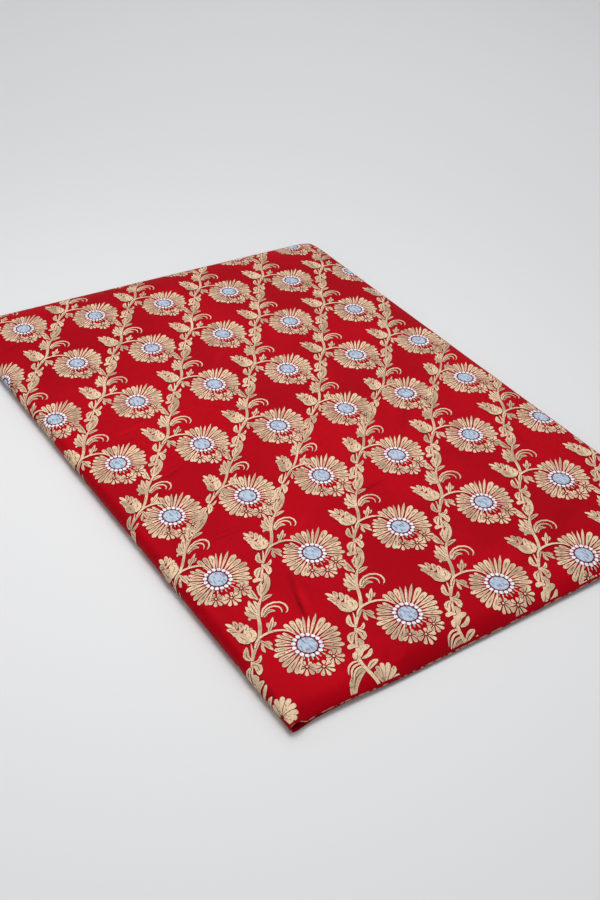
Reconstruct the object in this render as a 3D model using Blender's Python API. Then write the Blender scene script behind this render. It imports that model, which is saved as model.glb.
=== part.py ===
"""Folded silk brocade: one length of cloth, folded back and forth, its last turn wrapped over the pile.

The cloth is one solid, a sheet that follows a folded section. The cover lies on top. It wraps round
the left side, comes back underneath as the base, and from there goes back and forth up to the
innermost layer. The selvedges show at the front and at the back. X runs across from the wrap to the
free ends, Y runs along from the front selvedge to the back one, and Z is up. Units are metres.
"""

import math

import bmesh
import bpy

# Driving dimensions of the folded cloth.
WIDTH = 0.360
LENGTH = 0.492
HEIGHT = 0.012
CLOTH = 0.001

HALF_WIDTH = WIDTH / 2
HALF_LENGTH = LENGTH / 2
TOP_LEVEL = 5
RISE = HEIGHT - CLOTH

# One row for each layer, in the order in which the cloth runs. Level counts up from the base, and
# side is the side of the pile that the layer runs to: -1 is the left and 1 the right. Short is how
# far from that side it ends at the front, in the middle and at the back. Bulge is how deep the turn
# is that comes after it, and turn_steps is the number of faces round that turn.
LAYERS = (
    {"name": "cover", "level": 5, "side": -1, "short": (0.0016, 0.0005, 0.0014),
     "bulge": 0.0058, "turn_steps": 10},
    {"name": "base", "level": 0, "side": 1, "short": (0.0032, 0.0022, 0.0038),
     "bulge": 0.0009, "turn_steps": 6},
    {"name": "second", "level": 1, "side": -1, "short": (0.0048, 0.0040, 0.0050),
     "bulge": 0.0009, "turn_steps": 6},
    {"name": "third", "level": 2, "side": 1, "short": (0.0036, 0.0048, 0.0030),
     "bulge": 0.0009, "turn_steps": 6},
    {"name": "fourth", "level": 3, "side": -1, "short": (0.0062, 0.0050, 0.0058),
     "bulge": 0.0009, "turn_steps": 6},
    {"name": "fifth", "level": 4, "side": 1, "short": (0.0074, 0.0060, 0.0086),
     "bulge": 0.0, "turn_steps": 0},
)
PLACES_ALONG = (0.0, 0.5, 1.0)
LAYER_STEPS = 12

# How far each layer's selvedge lies back from the front and from the back of the pile. The columns
# are places across the cloth, as shares of its width from the left.
PLACES_ACROSS = (0.0, 0.07, 0.25, 1.0)
FRONT_SELVEDGE = {
    "cover": (0.0022, 0.0030, 0.0000, 0.0008),
    "base": (0.0034, 0.0014, 0.0015, 0.0030),
    "second": (0.0050, 0.0080, 0.0100, 0.0060),
    "third": (0.0060, 0.0090, 0.0110, 0.0070),
    "fourth": (0.0045, 0.0070, 0.0090, 0.0075),
    "fifth": (0.0044, 0.0018, 0.0070, 0.0080),
}
BACK_SELVEDGE = {
    "cover": (0.0012, 0.0004, 0.0000, 0.0014),
    "base": (0.0020, 0.0020, 0.0015, 0.0030),
    "second": (0.0070, 0.0075, 0.0070, 0.0060),
    "third": (0.0080, 0.0080, 0.0075, 0.0070),
    "fourth": (0.0070, 0.0080, 0.0080, 0.0075),
    "fifth": (0.0060, 0.0060, 0.0055, 0.0075),
}

# How far the cover sags at its front edge. It stands open at the wrap and lies down beside it.
SAG_ACROSS = (0.0, 0.03, 0.08, 0.25, 0.80, 1.0)
FRONT_SAG = (0.0016, 0.0020, 0.0042, 0.0058, 0.0056, 0.0025)
BACK_SAG = 0.0030
SIDE_SAG = 0.0020
FRONT_RUN = 0.028
BACK_RUN = 0.022
SIDE_RUN = 0.018

# Broad soft swells of the pile: centre, half lengths along and aside, turn in degrees and height.
SWELLS = (
    {"x": -0.140, "y": -0.060, "along": 0.150, "aside": 0.035, "turn": 90, "height": 0.0007},
    {"x": -0.010, "y": 0.120, "along": 0.120, "aside": 0.060, "turn": 20, "height": 0.0008},
    {"x": 0.110, "y": -0.110, "along": 0.100, "aside": 0.050, "turn": -30, "height": 0.0006},
    {"x": -0.020, "y": -0.100, "along": 0.070, "aside": 0.030, "turn": 5, "height": -0.0009},
    {"x": -0.125, "y": 0.080, "along": 0.060, "aside": 0.030, "turn": 40, "height": -0.0006},
    {"x": 0.090, "y": 0.060, "along": 0.080, "aside": 0.035, "turn": 60, "height": -0.0007},
)

# Rows of faces along the cloth, as shares of the half length from its middle, closer at the ends.
ROW_SHARES = (0.0, 0.18, 0.36, 0.54, 0.71, 0.83, 0.90, 0.935, 0.96, 0.98, 1.0)

SILK_RED = (0.46, 0.006, 0.016, 1.0)
SILK_ROUGHNESS = 0.42


def clear_scene():
    """Remove whatever the scene holds."""
    for obj in list(bpy.data.objects):
        bpy.data.objects.remove(obj, do_unlink=True)


def between(places, values, at):
    """The value at a place, eased between the two nearest ones given."""
    if at <= places[0]:
        return values[0]
    for low, high, first, second in zip(places, places[1:], values, values[1:]):
        if at <= high:
            share = (at - low) / (high - low)
            return first + (second - first) * share * share * (3 - 2 * share)
    return values[-1]


def section(along):
    """The folded section at a share of the length, as stations along the cloth's middle.

    Each station has its place across, its share of the pile's rise, the two layers that it lies
    between and how far it has passed from the first to the second.
    """
    stations = []
    start = HALF_WIDTH
    for layer, following in zip(LAYERS, LAYERS[1:] + (None,)):
        side = layer["side"]
        stop = side * (HALF_WIDTH - between(PLACES_ALONG, layer["short"], along) - layer["bulge"])
        share = layer["level"] / TOP_LEVEL
        for step in range(LAYER_STEPS + 1):
            closer_at_ends = (1 - math.cos(math.pi * step / LAYER_STEPS)) / 2
            x = start + (stop - start) * closer_at_ends
            stations.append((x, share, layer["name"], layer["name"], 0.0))
        for step in range(1, layer["turn_steps"]):
            turn = math.pi * step / layer["turn_steps"]
            x = stop + side * layer["bulge"] * math.sin(turn)
            passed = (1 - math.cos(turn)) / 2
            level = share + (following["level"] / TOP_LEVEL - share) * passed
            stations.append((x, level, layer["name"], following["name"], step / layer["turn_steps"]))
        start = stop
    return stations


def selvedge(table, station):
    """How far back the selvedge lies at a station. A turn passes from one layer's row to the next."""
    x, _, name, following, passed = station
    across = (x + HALF_WIDTH) / WIDTH
    here = between(PLACES_ACROSS, table[name], across)
    there = between(PLACES_ACROSS, table[following], across)
    return here + (there - here) * passed


def swell(x, y):
    """The height of the soft swells at a place."""
    total = 0.0
    for row in SWELLS:
        turn = math.radians(row["turn"])
        along = (x - row["x"]) * math.cos(turn) + (y - row["y"]) * math.sin(turn)
        aside = (y - row["y"]) * math.cos(turn) - (x - row["x"]) * math.sin(turn)
        total += row["height"] * math.exp(-((along / row["along"]) ** 2) - (aside / row["aside"]) ** 2)
    return total


def rise(x, y):
    """How high the cover's middle lies above the base's middle at a place."""
    across = (x + HALF_WIDTH) / WIDTH
    front = max(0.0, 1 - (y + HALF_LENGTH) / FRONT_RUN)
    back = max(0.0, 1 - (HALF_LENGTH - y) / BACK_RUN)
    side = max(0.0, 1 - (HALF_WIDTH - x) / SIDE_RUN)
    inside = (1 - front) * (1 - back) * (1 - side)
    sag = between(SAG_ACROSS, FRONT_SAG, across) * front**2 + BACK_SAG * back**2 + SIDE_SAG * side**2
    return RISE - sag + swell(x, y) * inside


def cloth_sheet():
    """The cloth's middle surface, a grid of faces moved onto the folded section."""
    mirrored = [-share for share in reversed(ROW_SHARES)] + list(ROW_SHARES[1:])
    rows = [(1 + share) / 2 for share in mirrored]
    sections = [section(along) for along in rows]
    last_row = len(rows) - 1
    last_station = len(sections[0]) - 1
    grid = bmesh.new()
    bmesh.ops.create_grid(grid, x_segments=last_station, y_segments=last_row, size=1.0)
    for vert in grid.verts:
        row = round((vert.co.y + 1) / 2 * last_row)
        station = sections[row][round((vert.co.x + 1) / 2 * last_station)]
        front = -HALF_LENGTH + selvedge(FRONT_SELVEDGE, station)
        back = HALF_LENGTH - selvedge(BACK_SELVEDGE, station)
        x = station[0]
        y = front + (back - front) * rows[row]
        vert.co = (x, y, CLOTH / 2 + station[1] * rise(x, y))
    bmesh.ops.recalc_face_normals(grid, faces=grid.faces)
    mesh = bpy.data.meshes.new("silk_cloth")
    grid.to_mesh(mesh)
    grid.free()
    return bpy.data.objects.new("silk_cloth", mesh)


def silk_material():
    """Red silk satin, the cloth's ground."""
    material = bpy.data.materials.new("red silk")
    material.use_nodes = True
    shader = material.node_tree.nodes["Principled BSDF"]
    shader.inputs["Base Color"].default_value = SILK_RED
    shader.inputs["Roughness"].default_value = SILK_ROUGHNESS
    shader.inputs["Metallic"].default_value = 0.0
    return material


def make_cloth():
    """The folded cloth, given its thickness."""
    cloth = cloth_sheet()
    bpy.context.scene.collection.objects.link(cloth)
    thickness = cloth.modifiers.new("thickness", "SOLIDIFY")
    thickness.thickness = CLOTH
    thickness.offset = 0.0
    thickness.use_even_offset = True
    cloth.data.materials.append(silk_material())
    cloth.data.shade_smooth()
    return cloth


clear_scene()
make_cloth()
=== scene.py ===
# %% [markdown]
# # A folded length of silk brocade
#
# The object is a dress length of red silk satin with gold flowers on climbing vines. It is folded
# back and forth into a flat pile, and its last turn is wrapped round the left side. The CAD model
# gives the pile its size and its folds. This script gives it its cloth, its woven flowers and its
# finish. Every length is in metres, X runs across the pile, Y along it and Z up.

import math

import bmesh
import bpy
import numpy as np
from mathutils import Matrix, Vector


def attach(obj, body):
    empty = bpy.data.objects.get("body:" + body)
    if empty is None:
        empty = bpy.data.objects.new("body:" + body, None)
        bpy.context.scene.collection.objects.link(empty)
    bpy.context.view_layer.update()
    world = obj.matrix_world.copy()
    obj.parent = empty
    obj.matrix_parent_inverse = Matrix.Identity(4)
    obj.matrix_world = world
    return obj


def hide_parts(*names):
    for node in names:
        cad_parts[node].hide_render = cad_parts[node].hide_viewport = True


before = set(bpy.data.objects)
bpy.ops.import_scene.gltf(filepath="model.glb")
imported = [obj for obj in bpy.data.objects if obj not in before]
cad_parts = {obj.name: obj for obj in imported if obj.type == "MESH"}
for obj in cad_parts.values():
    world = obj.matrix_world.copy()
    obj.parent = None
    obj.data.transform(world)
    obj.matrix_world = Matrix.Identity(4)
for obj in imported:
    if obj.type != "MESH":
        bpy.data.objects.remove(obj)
bpy.context.scene.view_settings.view_transform = "Standard"
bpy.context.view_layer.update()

# %% [markdown]
# ## The camera
#
# The photo was taken from above the left front corner, with the camera rolled by a few degrees. Its
# place, its three angles and its focal length were worked out from the four sides of the pile. The
# camera comes first because each later step is judged through it.

# %% Place the camera
CAMERA_PLACE = Vector((-0.4681, -0.5842, 0.5374))
CAMERA_HEADING = math.radians(51.221)
CAMERA_PITCH = math.radians(36.743)
CAMERA_ROLL = math.radians(6.411)
FOCAL_PIXELS = 1170.9
PHOTO_HEIGHT = 900
SENSOR = 36.0


def camera_axes(heading, pitch, roll):
    """The camera's right, up and forward directions."""
    flat = math.cos(pitch)
    forward = Vector((math.cos(heading) * flat, math.sin(heading) * flat, -math.sin(pitch)))
    level = Vector((math.sin(heading), -math.cos(heading), 0.0))
    above = level.cross(forward)
    right = math.cos(roll) * level + math.sin(roll) * above
    up = -math.sin(roll) * level + math.cos(roll) * above
    return right, up, forward


def make_camera():
    """A camera whose frame is the photo's, 600 by 900 pixels."""
    data = bpy.data.cameras.new("photo_camera")
    data.sensor_width = SENSOR
    data.lens = FOCAL_PIXELS / PHOTO_HEIGHT * SENSOR
    data.clip_start = 0.01
    camera = bpy.data.objects.new("photo_camera", data)
    right, up, forward = camera_axes(CAMERA_HEADING, CAMERA_PITCH, CAMERA_ROLL)
    turn = Matrix((right, up, -forward)).transposed().to_4x4()
    camera.matrix_world = Matrix.Translation(CAMERA_PLACE) @ turn
    bpy.context.scene.collection.objects.link(camera)
    bpy.context.scene.camera = camera
    return camera


photo_camera = make_camera()
print("lens", round(photo_camera.data.lens, 2), "mm")

# %% [markdown]
# ## The folds
#
# The cloth is one sheet, so one function can say where each point of it lies. A point on the flat
# cloth has a place `across`, which equals X on the top layer and goes on past the wrapped side, and a
# place `along`, which is close to Y. The tables are those of the CAD model: a row for each layer, how
# far it ends from the side that it runs to, and how deep the turn after it bulges.

# %% The tables of the folds
WIDTH = 0.360
LENGTH = 0.492
HEIGHT = 0.012
CLOTH = 0.001
HALF_WIDTH = WIDTH / 2
HALF_LENGTH = LENGTH / 2
TOP_LEVEL = 5
RISE = HEIGHT - CLOTH

LAYERS = (
    {"name": "cover", "level": 5, "side": -1, "short": (0.0002, 0.0005, 0.0014), "bulge": 0.0058},
    {"name": "base", "level": 0, "side": 1, "short": (0.0032, 0.0022, 0.0038), "bulge": 0.0009},
    {"name": "second", "level": 1, "side": -1, "short": (0.0048, 0.0040, 0.0050), "bulge": 0.0009},
    {"name": "third", "level": 2, "side": 1, "short": (0.0036, 0.0048, 0.0030), "bulge": 0.0009},
    {"name": "fourth", "level": 3, "side": -1, "short": (0.0062, 0.0050, 0.0058), "bulge": 0.0009},
    {"name": "fifth", "level": 4, "side": 1, "short": (0.0074, 0.0060, 0.0086), "bulge": 0.0},
)
PLACES_ALONG = (0.0, 0.5, 1.0)
PLACES_ACROSS = (0.0, 0.07, 0.25, 1.0)
FRONT_SELVEDGE = {
    "cover": (0.0004, 0.0016, 0.0000, 0.0008),
    "base": (0.0004, 0.0032, 0.0038, 0.0046),
    "second": (0.0050, 0.0044, 0.0060, 0.0062),
    "third": (0.0060, 0.0056, 0.0070, 0.0072),
    "fourth": (0.0045, 0.0050, 0.0064, 0.0068),
    "fifth": (0.0044, 0.0036, 0.0052, 0.0072),
}
BACK_SELVEDGE = {
    "cover": (0.0012, 0.0004, 0.0000, 0.0014),
    "base": (0.0020, 0.0020, 0.0015, 0.0030),
    "second": (0.0070, 0.0075, 0.0070, 0.0060),
    "third": (0.0080, 0.0080, 0.0075, 0.0070),
    "fourth": (0.0070, 0.0080, 0.0080, 0.0075),
    "fifth": (0.0060, 0.0060, 0.0055, 0.0075),
}
SAG_ACROSS = (0.0, 0.012, 0.038, 0.25, 0.80, 1.0)
FRONT_SAG = (0.0016, 0.0034, 0.0092, 0.0092, 0.0088, 0.0045)
BACK_SAG = 0.0030
SIDE_SAG = 0.0020
FRONT_RUN = 0.028
FRONT_ROLL = 4
BACK_RUN = 0.022
SIDE_RUN = 0.018
# Each row: its place in X and Y, half its length and width, its turn in degrees and its height.
SWELLS = (
    (-0.140, -0.060, 0.150, 0.035, 90, 0.0007),
    (-0.010, 0.120, 0.120, 0.060, 20, 0.0008),
    (0.110, -0.110, 0.100, 0.050, -30, 0.0006),
    (-0.020, -0.100, 0.070, 0.030, 5, -0.0009),
    (-0.125, 0.080, 0.060, 0.030, 40, -0.0006),
    (0.090, 0.060, 0.080, 0.035, 60, -0.0007),
)

# %% [markdown]
# Silk keeps the small creases of its handling. Each is placed as a soft trough or ridge with its own
# length, width and direction, and each is added to the height of the top layer. The sheet also carries
# each crease as a mark, from which the satin paints shade in the troughs and a highlight on the ridges.

# %% The table of the creases
# The rows are like those of the swells.
CREASE_AT_EDGES = 0.35
CREASES = (
    (-0.122, -0.170, 0.015, 0.0040, 74, -0.0007),
    (-0.116, -0.166, 0.016, 0.0045, 73, 0.0007),
    (-0.124, -0.015, 0.014, 0.0046, 20, -0.0005),
    (-0.122, -0.008, 0.018, 0.0050, 18, 0.0004),
    (-0.003, -0.095, 0.012, 0.0046, 8, -0.0005),
    (-0.134, 0.037, 0.016, 0.0046, 8, -0.0005),
    (-0.128, 0.046, 0.018, 0.0050, 10, 0.0005),
    (0.100, -0.191, 0.030, 0.0090, 12, -0.0004),
    (-0.105, -0.226, 0.036, 0.0050, -8, -0.0003),
    (0.030, -0.214, 0.050, 0.0060, 5, -0.0006),
    (0.040, 0.015, 0.060, 0.0070, 62, 0.0006),
    (0.075, -0.035, 0.045, 0.0050, 48, -0.0006),
    (-0.060, 0.165, 0.040, 0.0050, -15, -0.0006),
    (0.120, 0.150, 0.050, 0.0060, 75, 0.0006),
    (-0.085, -0.110, 0.035, 0.0050, 28, 0.0005),
    (-0.050, 0.040, 0.038, 0.0045, -40, -0.0003),
    (-0.158, 0.120, 0.045, 0.0045, 82, -0.0003),
    (-0.163, -0.120, 0.050, 0.0045, 88, -0.0006),
    (0.010, -0.160, 0.030, 0.0040, -55, 0.0004),
    (0.140, -0.090, 0.035, 0.0045, 80, -0.0005),
    (0.010, 0.210, 0.040, 0.0045, 8, -0.0005),
    (-0.020, 0.095, 0.032, 0.0040, 52, 0.0005),
)

# %% [markdown]
# The next functions turn the tables into a surface. They work on whole NumPy arrays, so that the
# cloth and its woven flowers can be laid on the folds in one call each.

# %% Height of the pile


def eased(places, values, at):
    """The values at some places, eased between the nearest given ones."""
    places, values, at = np.array(places), np.array(values), np.asarray(at)
    below = np.clip(np.searchsorted(places, at) - 1, 0, len(places) - 2)
    share = np.clip((at - places[below]) / (places[below + 1] - places[below]), 0.0, 1.0)
    return values[below] + (values[below + 1] - values[below]) * share * share * (3 - 2 * share)


def soft_forms(rows, x, y):
    """The summed height of soft troughs and ridges at some places."""
    total = np.zeros_like(x)
    for middle_x, middle_y, half_length, half_width, turn, height in rows:
        cosine, sine = math.cos(math.radians(turn)), math.sin(math.radians(turn))
        along = (x - middle_x) * cosine + (y - middle_y) * sine
        aside = (y - middle_y) * cosine - (x - middle_x) * sine
        total += height * np.exp(-((along / half_length) ** 2) - (aside / half_width) ** 2)
    return total


def rise(x, y):
    """How high the top layer's middle lies above the lowest layer's middle."""
    front = np.clip(1 - (y + HALF_LENGTH) / FRONT_RUN, 0, 1)
    back = np.clip(1 - (HALF_LENGTH - y) / BACK_RUN, 0, 1)
    side = np.clip(1 - (HALF_WIDTH - x) / SIDE_RUN, 0, 1)
    inside = (1 - front) * (1 - back) * (1 - side)
    front_sag = eased(SAG_ACROSS, FRONT_SAG, (x + HALF_WIDTH) / WIDTH)
    sag = front_sag * front**FRONT_ROLL + BACK_SAG * back**2 + SIDE_SAG * side**2
    creases = soft_forms(CREASES, x, y) * (CREASE_AT_EDGES + (1 - CREASE_AT_EDGES) * inside)
    return RISE - sag + soft_forms(SWELLS, x, y) * inside + creases


# %% Runs of the folded section


def add_run(runs, length, layer, before=None, following=None):
    """Adds one straight run or one turn to the section, by its length along the cloth's path."""
    reached = runs[-1]["end"] if runs else 0.0
    run = {"layer": layer, "from": before, "next": following, "start": reached, "end": reached + length}
    runs.append(run)


def runs_of_cloth():
    """The straight runs and the turns of the section, each with its reach along the cloth's path."""
    runs = []
    start = HALF_WIDTH
    before = None
    for layer, following in zip(LAYERS, LAYERS[1:] + (None,)):
        stop = layer["side"] * (HALF_WIDTH - layer["short"][1] - layer["bulge"])
        add_run(runs, abs(stop - start), layer, before=before)
        if following:
            half_height = abs(following["level"] - layer["level"]) / TOP_LEVEL * RISE / 2
            turn_length = math.pi * math.sqrt((layer["bulge"] ** 2 + half_height**2) / 2)
            add_run(runs, turn_length, layer, following=following)
        start = stop
        before = layer
    return runs


RUNS = runs_of_cloth()
PATH_LENGTH = RUNS[-1]["end"]
print("the cloth's path is", round(PATH_LENGTH, 4), "m long and has", len(RUNS), "runs and turns")

# %% Lay points of the flat cloth on the folds


def run_stop(layer, along_share):
    """Where a layer's straight run ends, at some shares of the length."""
    return layer["side"] * (HALF_WIDTH - eased(PLACES_ALONG, layer["short"], along_share) - layer["bulge"])


def middle_surface(across, along):
    """Points on the cloth's middle surface, for places on the flat cloth."""
    path = np.clip(HALF_WIDTH - across, 0.0, PATH_LENGTH)
    overhang = HALF_WIDTH - across - path
    share_along = (along + HALF_LENGTH) / LENGTH
    x, level = np.zeros_like(path), np.zeros_like(path)
    front, back = np.zeros_like(path), np.zeros_like(path)
    for run in RUNS:
        here = (path >= run["start"]) & (path <= run["end"])
        if not here.any():
            continue
        share = (path[here] - run["start"]) / (run["end"] - run["start"])
        lengthwise = share_along[here]
        layer, following = run["layer"], run["next"]
        stop = run_stop(layer, lengthwise)
        first_level = layer["level"] / TOP_LEVEL
        if following:
            passed = (1 - np.cos(math.pi * share)) / 2
            x_here = stop + layer["side"] * layer["bulge"] * np.sin(math.pi * share)
            level_here = first_level + (following["level"] / TOP_LEVEL - first_level) * passed
        else:
            begin = run_stop(run["from"], lengthwise) if run["from"] else np.full_like(stop, HALF_WIDTH)
            x_here = begin + (stop - begin) * share
            level_here = first_level
        place = (x_here + HALF_WIDTH) / WIDTH
        for table, edge in ((FRONT_SELVEDGE, front), (BACK_SELVEDGE, back)):
            edge[here] = eased(PLACES_ACROSS, table[layer["name"]], place)
            if following:
                second = eased(PLACES_ACROSS, table[following["name"]], place)
                edge[here] += (second - edge[here]) * share
        x[here], level[here] = x_here, level_here
    y_front, y_back = front - HALF_LENGTH, HALF_LENGTH - back
    y = y_front + (y_back - y_front) * share_along
    return np.stack([x - overhang, y, CLOTH / 2 + level * rise(x, y)], axis=-1)


SLOPE_STEP = 0.0002


def on_folds(across, along, lift):
    """Points at a height above the cloth's middle surface, on its right side."""
    middle = middle_surface(across, along)
    down_path = middle_surface(across - SLOPE_STEP, along) - middle_surface(across + SLOPE_STEP, along)
    down_length = middle_surface(across, along + SLOPE_STEP) - middle_surface(across, along - SLOPE_STEP)
    normal = np.cross(down_length, down_path)
    normal /= np.linalg.norm(normal, axis=-1, keepdims=True)
    return middle + normal * np.asarray(lift)[:, None]


# %% [markdown]
# ## The cloth
#
# The sheet starts as a flat grid, whose rows and columns lie closer together where the cloth bends.
# Each vertex is moved on to the folds, and a Solidify modifier gives the sheet its thickness. The
# cloth keeps a UV map in metres, so that the weave follows it round every turn.

# %% Make the sheet of silk
SILK = 0.0004
COLUMN_STEP = {"cover": 0.0018, "base": 0.0150, "inner": 0.0300}
WRAP_FACES = 14
TURN_FACES = 5
ROW_COUNT = 156
ROW_CROWD = 0.2
CREASE_FULL = 0.0012


def column_places():
    """Places of the grid's columns along the cloth's path."""
    places = [0.0]
    for run in RUNS:
        length = run["end"] - run["start"]
        if run["next"]:
            faces = WRAP_FACES if run["next"]["name"] == "base" else TURN_FACES
            shares = [(number + 1) / faces for number in range(faces)]
        else:
            step = COLUMN_STEP.get(run["layer"]["name"], COLUMN_STEP["inner"])
            faces = round(length / step)
            shares = [(number + 1) / faces for number in range(faces)]
            if step > COLUMN_STEP["cover"]:
                shares = [(1 - math.cos(math.pi * share)) / 2 for share in shares]
        places += [run["start"] + length * share for share in shares]
    return np.array(places)


def row_places():
    """Places of the grid's rows along the length, closer at both selvedges."""
    share = np.linspace(-1, 1, ROW_COUNT + 1)
    return HALF_LENGTH * ((1 - ROW_CROWD) * share + ROW_CROWD * np.sin(share * math.pi / 2))


def add_object(name, grid):
    """A new object with a bmesh's mesh, linked to the scene."""
    mesh = bpy.data.meshes.new(name)
    grid.to_mesh(mesh)
    grid.free()
    obj = bpy.data.objects.new(name, mesh)
    bpy.context.scene.collection.objects.link(obj)
    return obj


def coordinates(mesh):
    """A mesh's vertices as an array of rows."""
    flat = np.empty(len(mesh.vertices) * 3, dtype=np.float32)
    mesh.vertices.foreach_get("co", flat)
    return flat.reshape(-1, 3).astype(float)


def set_coordinates(mesh, places):
    """Moves a mesh's vertices to an array's rows."""
    mesh.vertices.foreach_set("co", places.astype(np.float32).ravel())


def set_cloth_uv(mesh, across, along):
    """A UV map that gives each corner its place on the flat cloth, in metres."""
    corner = np.empty(len(mesh.loops), dtype=np.int32)
    mesh.loops.foreach_get("vertex_index", corner)
    layer = mesh.uv_layers.new(name="cloth")
    places = np.stack([across[corner], along[corner]], axis=-1)
    layer.data.foreach_set("uv", places.astype(np.float32).ravel())


def make_sheet():
    """The whole folded cloth as one sheet."""
    columns, rows = column_places(), row_places()
    grid = bmesh.new()
    bmesh.ops.create_grid(grid, x_segments=len(columns) - 1, y_segments=len(rows) - 1, size=1.0)
    sheet = add_object("silk_sheet", grid)
    flat = coordinates(sheet.data)
    column = np.rint((flat[:, 0] + 1) / 2 * (len(columns) - 1)).astype(int)
    row = np.rint((flat[:, 1] + 1) / 2 * (len(rows) - 1)).astype(int)
    across, along = HALF_WIDTH - columns[column], rows[row]
    set_coordinates(sheet.data, middle_surface(across, along))
    set_cloth_uv(sheet.data, across, along)
    sheet.data.flip_normals()
    # The mark of each crease, from which the satin paints shade in the troughs and a highlight on the
    # ridges.
    crease = sheet.data.attributes.new("crease", "FLOAT", "POINT")
    marks = soft_forms(CREASES, across, along) / CREASE_FULL
    crease.data.foreach_set("value", marks.astype(np.float32))
    thickness = sheet.modifiers.new("thickness", "SOLIDIFY")
    thickness.thickness = SILK
    thickness.offset = 0.0
    thickness.use_even_offset = True
    sheet.data.shade_smooth()
    return sheet


silk_sheet = make_sheet()
print("silk sheet:", len(silk_sheet.data.polygons), "faces before its thickness")

# %% [markdown]
# ## The woven blades
#
# Every petal, leaf, stem and tendril of the brocade is a narrow shape along a centre line, so one
# function draws them all. It starts from a disc. Each vertex of the disc is moved to one side of the
# centre line, at the width that the shape has there. The gold threads lie on top of the satin, so the
# shape is raised a little: a light rim slopes up to the threads. A darker shape, slightly larger, lies
# beneath it and shows as a thin outline. It is shifted towards the lower right, where it is wider, as a
# painted shadow. On the underside the shapes are pressed flat and have no rim.
# Each blade is a little slimmer than its row says, so that its outline shows beside its neighbour.

# %% Draw one blade
MM = 0.001
SHAPES = {
    "ray": {"root": 0.14, "widest": 0.84, "swell": 1.60, "end": 0.50},
    "sprig": {"root": 0.30, "widest": 0.62, "swell": 1.00, "end": 0.95},
    "leaf": {"root": 0.24, "widest": 0.56, "swell": 0.80, "end": 0.64},
    "round": {"root": 0.30, "widest": 0.62, "swell": 0.75, "end": 0.50},
    "stem": {"root": 0.70, "widest": 0.50, "swell": 1.00, "end": 0.40},
    "tendril": {"root": 0.75, "widest": 0.40, "swell": 1.00, "end": 0.45},
}
SLIMMER = 0.08
THINNEST = 0.35
NO_WIDTH = 1e-6
SHEEN_TURN = 2.4
RIM = 0.36
OUTLINE = 0.26
# The outline is shifted towards the lower right, so that it paints a shadow on that side of each blade.
PAINTED_SHADOW_SHIFT = Vector((0.12, -0.15))
BASE_LIFT = 0.06
RIM_LIFT = 0.03
TOP_LIFT = 0.07
TIER_LIFT = 0.09
OUTLINE_LIFT = 0.04
VEIN = 0.27
VEIN_SPAN = (0.12, 0.78)
VEIN_SIDES = 4


def width_share(shape, at):
    """How wide a shape is at a share of its length, as a share of its full width."""
    if at < shape["widest"]:
        grown = math.sin(math.pi / 2 * at / shape["widest"]) ** shape["swell"]
        return shape["root"] + (1 - shape["root"]) * grown
    left = math.cos(math.pi / 2 * (at - shape["widest"]) / (1 - shape["widest"]))
    return max(left, 0.0) ** shape["end"]


def centre_line(points, at):
    """Place and direction at a share of a smooth line through some points."""
    spans = len(points) - 1
    span = min(max(int(at * spans), 0), spans - 1)
    share = at * spans - span
    before = points[span - 1] if span else 2 * points[0] - points[1]
    first, second = points[span], points[span + 1]
    after = points[span + 2] if span + 2 <= spans else 2 * points[-1] - points[-2]
    leave, arrive = (second - before) / 2, (after - first) / 2
    rest = second - first
    bend = 3 * rest - 2 * leave - arrive
    curl = leave + arrive - 2 * rest
    place = first + leave * share + bend * share**2 + curl * share**3
    heading = leave + 2 * bend * share + 3 * curl * share**2
    return place, heading.normalized()


def rim_place(points, shape, width, grow, turn):
    """A place on the edge of a blade, grown or shrunk, for a turn round the disc that it starts from."""
    length = sum((second - first).length for first, second in zip(points, points[1:]))
    at = (1 - math.cos(turn)) / 2
    reach = at + (at - 0.5) * 2 * grow / length
    inside = min(max(reach, 0.0), 1.0)
    place, heading = centre_line(points, inside)
    local = width * width_share(shape, at)
    aside = max(local + grow, local * THINNEST) * math.copysign(1, math.sin(turn))
    if min(at, 1 - at) < NO_WIDTH:
        aside = 0.0
    square = Vector((-heading.y, heading.x))
    return place + heading * (reach - inside) * length + square * aside


def start_shape(raised):
    """An empty shape whose vertices are marked with the blade's own shade, a painted sheen, and, if raised,
    its rim.
    """
    shape = bmesh.new()
    shape.verts.layers.float.new("shade")
    if raised:
        shape.verts.layers.float.new("rim")
    return shape


def add_blade(gold, outline, points, kind, width, tier=0, sides=7):
    """One woven shape in millimetres: its gold and the darker shape beneath it, shifted as a painted
    shadow.
    """
    shape = SHAPES[kind]
    points = [Vector(point) for point in points]
    width -= SLIMMER
    lift = BASE_LIFT + tier * TIER_LIFT
    rim = gold.verts.layers.float.get("rim")
    shade = gold.verts.layers.float["shade"]
    # Each blade gets its own shade, a painted sheen for how its metal threads catch the light.
    own_painted_sheen = (1 + math.sin(SHEEN_TURN * len(gold.faces) + points[0].x)) / 2
    ring = bmesh.ops.create_circle(gold, cap_ends=True, segments=sides * 2, radius=1.0)["verts"]
    face = ring[0].link_faces[0]
    top = []
    if rim is not None:
        bmesh.ops.inset_individual(gold, faces=[face], thickness=0.0)
        top = list(face.verts)
    for vert in top:
        turn = math.atan2(vert.co.y, vert.co.x)
        vert.co = (*rim_place(points, shape, width, -RIM, turn), lift + TOP_LIFT)
        vert[shade] = own_painted_sheen
    for vert in ring:
        turn = math.atan2(vert.co.y, vert.co.x)
        vert.co = (*rim_place(points, shape, width, 0.0, turn), lift + RIM_LIFT)
        vert[shade] = own_painted_sheen
        if rim is not None:
            vert[rim] = 1.0
    add_dark_shape(outline, points, shape, width, OUTLINE, PAINTED_SHADOW_SHIFT, lift, sides)


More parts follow.
